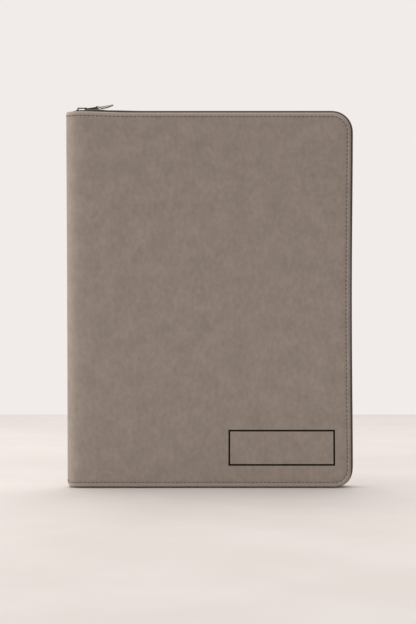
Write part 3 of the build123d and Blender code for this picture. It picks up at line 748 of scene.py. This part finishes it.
def make_padding(side, cover):
    """Foam and stiff board in one cover."""
    low, high = corners(f"{cover}_cover_foam")
    thickness, cell = 1.5, 20.0
    rim = [(0.0, 0.5), (0.25, 0.15), (0.9, 0.0), (4.0, 0.0)]
    flat, faces = sewn_sheet(low[0], high[0], low[2], high[2], CORNER_R - 1, rim, cell)
    outer = max(abs(low[1]), abs(high[1]))
    foam = piece(f"{cover}_foam", upright(flat, side * (outer - flat[:, 2])), faces, FOAM, flip=side > 0)
    thickened(foam, thickness, 0, crisp=True)
    stands_for(foam, f"{cover}_cover_foam", f"{cover}_cover")
    eased_copy(f"{cover}_cover_board", f"{cover}_board", 0.2, BOARD, f"{cover}_cover")


def make_lining(side, cover):
    """Lining cloth of one cover with its half of the spine, turned in at the edge."""
    rim = [(0.0, LINING_DEPTH - 0.55), (0.1, LINING_DEPTH - 0.2), (0.6, LINING_DEPTH), (3.0, LINING_DEPTH)]
    right, foot, top = EDGE - LINING_INSET, LINING_INSET, HEIGHT - LINING_INSET
    corner, cell = CORNER_R - LINING_INSET, 7.0
    flat, faces = sewn_sheet(MID_SPINE, right, foot, top, corner, rim, cell, open_left=True)
    flat[:, 2] -= (LINING_DEPTH - SPINE_LINING_DEPTH) * spine_share(flat[:, 0])
    made = piece(f"{cover}_lining", rolled(flat, side), faces, LINING, flat, flip=side < 0)
    thickened(made, LINING_T, 0, crisp=True)
    bend_with_spine(made)
    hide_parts(f"{cover}_cover_lining", "spine_lining")


def make_spine_foam():
    """Soft strip under the leatherette of the spine, from fold to fold."""
    low, high = corners("spine_padding")
    depth, thickness = 1.05, 0.9  # under the outside of the spine
    bare_fold = 0.55  # share of each fold that it doesn't reach
    cell_across, cell_up = 2.0, 12.0
    across = stations(MID_SPINE, FOLD_X - FOLD_ARC * bare_fold, cell_across)
    up = stations(low[2], high[2], cell_up)
    rows = []
    for z in up:
        half = np.column_stack((across, np.full(len(across), z), np.full(len(across), depth)))
        rows.append(np.concatenate([rolled(half, -1)[::-1], rolled(half, 1)[1:]]))
    made = piece("spine_foam", np.concatenate(rows), cells(len(up), len(rows[0])), FOAM, flip=True)
    thickened(made, thickness, 0, crisp=True)
    stands_for(made, "spine_padding", "spine")


padding_field = padding_rise()
for side, cover in SIDES:
    make_wrap(side, cover, padding_field)
    make_seam(side, cover)
    make_padding(side, cover)
    make_lining(side, cover)
make_spine_foam()


# Zip

def pulled_zip(spots):
    """Moves places along the zip with the edge that it is sewn to."""
    out = spread_out(*spots.T)
    return spots + np.column_stack((out - drawn_in(*spots.T, ZIP_DRAWN), -out))


def puckered(x, z):
    """How far the tape bunches up at the top, clear of the slider's way, beside it and a little past it."""
    bunched = PUCKER * (1 - step_up(x, *PUCKER_END))
    loose = LOOSE * (1 - step_up(x, *LOOSE_END))
    return (bunched + loose) * step_up(x, *PUCKER_START) * (z > HEIGHT / 2)


def make_tape(side, cover):
    """Zip tape of one cover: a flange sewn under the edge and the strip that stands across it."""
    places, way = rounded_path(ZIP_RUN, ZIP_R, TAPE_STEP)
    places = pulled_zip(places)
    out = np.column_stack((-way[:, 1], way[:, 0]))
    # (outwards, across, share of the pucker)
    profile = [
        (-6.6, 8.2, 0), (-4.0, 8.2, 0), (-1.6, 8.2, 0), (-0.5, 8.2, 0.5), (0.1, 8.05, 0.9), (0.44, 7.4, 1),
        (0.48, 6.4, 1), (0.36, 5.0, 0.5), (0.15, 3.8, 0), (0.0, 2.9, 0), (0.0, 1.9, 0),
    ]
    apart = 1.8  # about the distance between these points on the flat tape
    pucker = puckered(*places.T)
    length = TAPE_STEP * np.arange(len(places))
    rows, flat = [], []
    for number, (outward, across, share) in enumerate(profile):
        rows.append(upright(places + out * (outward + share * pucker)[:, None], side * across))
        flat.append(np.column_stack((length, np.full(len(places), number * apart), np.zeros(len(places)))))
    faces = cells(len(profile), len(places))
    made = piece(f"{cover}_zip_tape", np.concatenate(rows), faces, TAPE, np.concatenate(flat), flip=side < 0)
    thickened(made, TAPE_T, centred=True)
    stands_for(made, f"zipper_tape_{cover}", f"{cover}_cover")


def make_teeth(side, cover):
    """One row of the moulded chain, half a pitch apart from the other row."""
    # (inwards from the tape, half width, half height)
    tooth = [
        (0.0, 0.26, 0.45), (0.25, 0.4, 0.74), (1.2, 0.38, 0.76), (1.75, 0.46, 0.8), (2.3, 0.46, 0.76),
        (2.58, 0.28, 0.45),
    ]
    shape = lofted([(*section, 0.0) for section in tooth])
    first = 0.35 if side < 0 else 0.85  # in pitches, from the stop
    spots, way = rounded_path(ZIP_RUN, ZIP_R, TOOTH_PITCH, STOP_LENGTH + TOOTH_PITCH * first)
    spots, way = pulled_zip(spots[:-2]), way[:-2]  # room for the lower stop
    inward = np.tile([0.0, -side, 0.0], (len(way), 1))
    out = np.column_stack((-way[:, 1], np.zeros(len(way)), way[:, 0]))
    row = repeated(shape, upright(spots, side * CHAIN_HALF), inward, upright(way, 0.0), out)
    made = piece(f"{cover}_zip_teeth", *row, NYLON, flip=side < 0)
    stands_for(made, f"zipper_teeth_{cover}", f"{cover}_cover")


def make_tab():
    """Pull tab: leatherette folded round the far bar of the link, cut on a slant and a little twisted."""
    joints = frame["record"]["behaviour"]["joints"]
    hinges = {joint["name"]: np.array(joint["pos_m"]) * 1000 for joint in joints if "pos_m" in joint}
    bar = hinges["tab_swing"]
    along = unit(bar - hinges["link_swing"])
    above = np.array([-along[2], 0.0, along[0]])
    reach, half, neck = 14.5, 4.0, 1.45  # length, half width, and how much narrower the neck is on each side
    eye, layer = 1.02, 0.31  # radius of the fold, and half the distance of the two layers past it
    open_angle = 0.9
    slant = 0.88  # share of the width that the slanted end cuts away
    most_twist, most_lift = math.radians(19.5), 0.95
    thickness, columns = 0.6, 9
    turns = np.linspace(open_angle, 2 * math.pi - open_angle, 19)
    upper = []
    for s in np.linspace(reach, 1.2, 16):
        upper.append((s, layer + (eye * math.sin(open_angle) - layer) * (1 - step_up(s, 0.7, 2.3))))
    line = upper + [(eye * math.cos(a), eye * math.sin(a)) for a in turns] + [(s, -n) for s, n in upper[::-1]]
    rows = []
    for s, n in line:
        wide = half - neck * (1 - step_up(s, 1.6, 3.4))
        near = -wide + 2 * wide * slant * step_up(s, reach - 7.0, reach + 1.2) ** 1.2
        across = np.linspace(near, wide - 0.35 * step_up(s, reach - 1.2, reach), columns)
        droop = step_up(s, 0.6, 3.8)
        twist = most_twist * droop
        t = across * math.cos(twist) - n * math.sin(twist)
        lift = across * math.sin(twist) + n * math.cos(twist) + droop * (most_lift - wide * math.sin(twist))
        rows.append(bar + s * along + t[:, None] * np.array([0.0, 1.0, 0.0]) + lift[:, None] * above)
    made = piece("zip_pull_tab", np.concatenate(rows), cells(len(rows), columns), LEATHERETTE)
    thickened(made, thickness, centred=True)
    stands_for(made, "pull_tab", "tab")


for side, cover in SIDES:
    make_tape(side, cover)
    make_teeth(side, cover)
    eased_copy(f"zipper_stops_{cover}", f"{cover}_zip_stops", 0.2, GUNMETAL, f"{cover}_cover")
eased_copy("slider_body", "zip_slider", 0.16, GUNMETAL, "slider")
eased_copy("slider_crown", "zip_slider_crown", 0.3, GUNMETAL, "slider", 3)
eased_copy("pull_link", "zip_pull_link", 0.28, GUNMETAL, "link", 3)
make_tab()


# Organiser and writing side

def make_pocket_seam(name, spots, way, face_y, facing, body):
    """Stitches along a run of places on the face of a pocket."""
    along = upright(way, 0.0)
    above = np.tile([0.0, facing, 0.0], (len(way), 1))
    sewn = upright(spots, face_y + facing * 0.02)
    stitches = repeated(stitch_shape(POCKET_THREAD), sewn, along, np.cross(above, along), above)
    seam = piece(f"{name}_seam", *stitches, THREAD_DARK)
    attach(seam, body)


def make_pocket(name, node, facing, bulge=0.0, scoop=0.0, body="front_cover"):
    """A sewn pocket in the place of a CAD node, seen from the facing side of it, with its seams."""
    low, high = corners(node)
    width, height = high[0] - low[0], high[2] - low[2]
    mid_x = (low[0] + high[0]) / 2
    face_y = high[1] if facing > 0 else low[1]
    edge = 0.55
    rim = [
        (0.05, edge), (0.0, edge * 0.55), (0.12, edge * 0.2), (0.5, 0.0), (1.6, 0.0), (POCKET_SEAM, 0.12),
        (3.2, 0.0), (4.6, 0.0),
    ]

    def bulged(flat):
        """How far the pocket stands out: most a little above its middle."""
        across = np.clip((flat[:, 0] - low[0]) / width, 0, 1)
        up = np.clip((flat[:, 1] - low[2]) / height, 0, 1)
        return bulge * np.sin(math.pi * across) ** 0.7 * np.sin(math.pi * (0.12 + 0.78 * up)) ** 2

    def dip(x):
        """How far the thumb scoop lowers the upper edge."""
        return scoop * (1 - step_up(np.abs(x - mid_x), SCOOP_FLOOR, SCOOP_REACH))

    cell, scoop_cell = 8.0, 1.5
    lines = [mid_x + n * scoop_cell for n in range(-15, 16)] if scoop else ()
    flat, faces = sewn_sheet(low[0], high[0], low[2], high[2], POCKET_R, rim, cell, lines)
    flat[:, 2] -= bulged(flat)
    flat[:, 1] -= dip(flat[:, 0]) * step_up(flat[:, 1], high[2] - 60, high[2] - 5)
    made = piece(name, upright(flat, face_y - facing * flat[:, 2]), faces, POCKET, flat, flip=facing > 0)
    thickened(made, POCKET_T)
    stands_for(made, node, body)

    left, right, foot = low[0] + POCKET_SEAM, high[0] - POCKET_SEAM, low[2] + POCKET_SEAM
    run = [(left, high[2] - 1), (left, foot), (right, foot), (right, high[2] - 1)]
    spots, way = rounded_path(run, POCKET_SEAM_R, POCKET_PITCH, POCKET_PITCH / 2)
    hem_z = high[2] - HEM - 0.5
    hem_ends = [(low[0] + HEM, hem_z), (high[0] - HEM, hem_z)]
    hem, hem_way = rounded_path(hem_ends, POCKET_SEAM_R, POCKET_PITCH, POCKET_PITCH / 2)
    if scoop:
        hem[:, 1] -= dip(hem[:, 0])
        hem_way[:, 1] = np.gradient(hem[:, 1], hem[:, 0])
        hem_way = unit(hem_way)
    spots, way = np.concatenate([spots, hem]), np.concatenate([way, hem_way])
    make_pocket_seam(name, spots, way, face_y + facing * bulged(spots), facing, body)


def make_window():
    """Leatherette frame of the clear window, sewn round its outside, and the film behind it."""
    low, high = corners("window_frame")
    bar, thickness, cell = 9.0, 0.25, 6.0
    rim = [
        (0.05, 0.5), (0.0, 0.28), (0.15, 0.08), (0.6, 0.0), (1.8, 0.0), (2.5, 0.12), (3.2, 0.0),
        (bar - 0.8, 0.0), (bar - 0.25, 0.08), (bar - 0.1, 0.3), (bar - 0.2, 0.5),
    ]
    flat, faces = sewn_sheet(low[0], high[0], low[2], high[2], POCKET_R, rim, cell, field=False)
    made = piece("window_surround", upright(flat, high[1] - flat[:, 2]), faces, POCKET, flat, flip=True)
    thickened(made, thickness)
    stands_for(made, "window_frame", "front_cover")
    left, right = low[0] + POCKET_SEAM, high[0] - POCKET_SEAM
    foot, top = low[2] + POCKET_SEAM, high[2] - POCKET_SEAM
    start = (left, high[2] - 20)
    ring = [start, (left, foot), (right, foot), (right, top), (left, top), start]
    spots, way = rounded_path(ring, POCKET_SEAM_R, POCKET_PITCH, POCKET_PITCH / 2)
    make_pocket_seam("window_surround", spots, way, high[1], 1, "front_cover")
    eased_copy("window_film", "window_pane", 0.05, FILM, "front_cover")


def make_pad():
    """Writing pad: a stack of sheets that don't quite line up, its backing and its cloth binding."""
    low, high = corners("pad_paper")
    layers, cell = 14, 24.0
    slip = 0.13  # how far layers are out of line
    full = 0.92  # share of a layer that is paper
    corner_lift = 1.3
    step = (high[1] - low[1]) / layers
    stack = []
    for number in range(layers):
        shift_x, shift_z = chance.normal(0, slip, 2)
        us = stations(low[0] + shift_x, high[0] + shift_x, cell)
        vs = stations(low[2] + shift_z, high[2] + shift_z, cell)
        u, v = np.meshgrid(us, vs)
        rows, cols = u.shape
        near = low[1] + number * step + 0 * u
        if number == 0:
            # The lower free corner of the top sheet lifts a little
            towards = u / (high[0] - low[0]) - v / (high[2] - low[2])
            near = near - corner_lift * step_up(towards, 0.28, 0.62)
        flat = np.column_stack((u.ravel(), v.ravel()))
        faces = cells(rows, cols)
        faces += [[u.size + i for i in face[::-1]] for face in faces]
        row, col = outline(rows, cols)
        ring = (row * cols + col).tolist()
        faces += [[a, a + u.size, b + u.size, b] for a, b in zip(ring, ring[1:] + ring[:1])]
        both = [upright(flat, near.ravel() + back) for back in (0, full * step)]
        stack.append((np.concatenate(both), faces))
    paper = piece("writing_paper", *joined(stack), PAPER)
    paper.data.shade_flat()
    stands_for(paper, "pad_paper", "back_cover")
    eased_copy("pad_backing", "writing_pad_board", 0.15, BACKING, "back_cover")
    eased_copy("pad_binding", "writing_pad_binding", 0.12, BINDING, "back_cover")


def make_pen_loop():
    """Elastic loop for a pen: a knitted band bent round, sewn down at its two ends."""
    low, high = corners("pen_loop")
    middle = (low[0] + high[0]) / 2
    outer_r = (high[0] - low[0]) / 2
    thickness, half_turn, waisted = 0.85, 2.2, 0.03
    r, axis_y = outer_r - 0.45, low[1] + outer_r
    turns = np.linspace(-half_turn, half_turn, 29) - math.pi / 2
    bow = np.column_stack((r * np.cos(turns), r * np.sin(turns)))
    length = run_length(bow)
    levels = np.linspace(low[2], high[2], 13)
    points, flat = [], []
    for z in levels:
        waist = 1 - waisted * math.sin(math.pi * (z - low[2]) / (high[2] - low[2]))
        height = np.full(len(bow), z)
        points.append(np.column_stack((bow * waist + [middle, axis_y], height)))
        flat.append(np.column_stack((length, height, 0 * height)))
    faces = cells(len(levels), len(bow))
    loop = piece("pen_holder", np.concatenate(points), faces, ELASTIC, np.concatenate(flat))
    thickened(loop, thickness, centred=True)
    stands_for(loop, "pen_loop", "back_cover")


make_pocket("organiser_pocket", "document_pocket", 1, scoop=13.0)
for number in (1, 2, 3):
    make_pocket(f"card_slot_{number}", f"card_pocket_{number}", 1, bulge=0.15)
make_pocket("phone_pouch", "phone_pocket", 1, bulge=0.6)
make_pocket("writing_pad_sleeve", "pad_sleeve", -1, body="back_cover")
make_window()
make_pad()
make_pen_loop()


# Stage, light and camera

EYE_X, EYE_Z = -1.7, 154.95
DISTANCE = 1400.0  # camera to the front of the case
VIEW_HEIGHT = 548.8  # what the picture shows at the front of the case, from top to bottom
TABLE_HALF, TABLE_NEAR, TABLE_END, TABLE_T = 4000.0, -3000.0, FACE + 0.7 * DISTANCE, 30.0


def make_stage():
    """A pale table top, seen against the plain pale room."""
    plan = [
        (-TABLE_HALF, TABLE_NEAR), (TABLE_HALF, TABLE_NEAR), (TABLE_HALF, TABLE_END), (-TABLE_HALF, TABLE_END)
    ]
    points = np.array([(x, y, z) for z in (0.0, -TABLE_T) for x, y in plan])
    faces = [[0, 1, 2, 3], [7, 6, 5, 4], [0, 4, 5, 1], [1, 5, 6, 2], [2, 6, 7, 3], [3, 7, 4, 0]]
    # Painted wood: matt and pale, with broad faint clouds
    paint = mottled("pale_painted_wood", 160.0, "#cfc9c6", "#d5d1cf", {"Roughness": 0.7})
    top = piece("table_top", points, faces, paint)
    top.data.shade_flat()


def soft_light(name, place, aim, width, height, power, colour, spread=180.0):
    """A rectangular soft light in millimetres, turned to its aim; spread is its beam in degrees."""
    lamp = bpy.data.lights.new(name, "AREA")
    lamp.shape = "RECTANGLE"
    lamp.size, lamp.size_y = width / 1000, height / 1000
    lamp.energy = power
    lamp.spread = math.radians(spread)
    lamp.color = linear(colour)[:3]
    made = bpy.data.objects.new(name, lamp)
    made.location = Vector(place) / 1000
    made.rotation_mode = "QUATERNION"
    made.rotation_quaternion = (Vector(aim) - Vector(place)).to_track_quat("-Z", "Y")
    scene.collection.objects.link(made)


make_stage()
soft_light("window_light", (-2800, -440, 640), (0, 0, 160), 1500, 1100, 5.6, "#fffaf6", spread=50.0)
soft_light("ceiling_light", (-250, 470, 1700), (0, -150, 0), 1400, 900, 12.8, "#fffcfa")
soft_light("low_fill", (0, -1900, 420), (0, -12, 10), 2000, 260, 0.16, "#fffdfb", spread=22.0)

world = bpy.data.worlds.new("soft_room")
scene.world = world
world.use_nodes = True
connect(world.node_tree.nodes["Background"], {"Color": linear("#f1ece9"), "Strength": 1.0})
scene.view_settings.view_transform = "Standard"

lens = bpy.data.cameras.new("camera")
lens.sensor_width = 36.0
lens.lens = lens.sensor_width * DISTANCE / VIEW_HEIGHT
lens.clip_start, lens.clip_end = 0.01, 20.0
camera = bpy.data.objects.new("camera", lens)
camera.location = Vector((EYE_X, -FACE - DISTANCE, EYE_Z)) / 1000
camera.rotation_euler = (math.pi / 2, 0, 0)
scene.collection.objects.link(camera)
scene.camera = camera
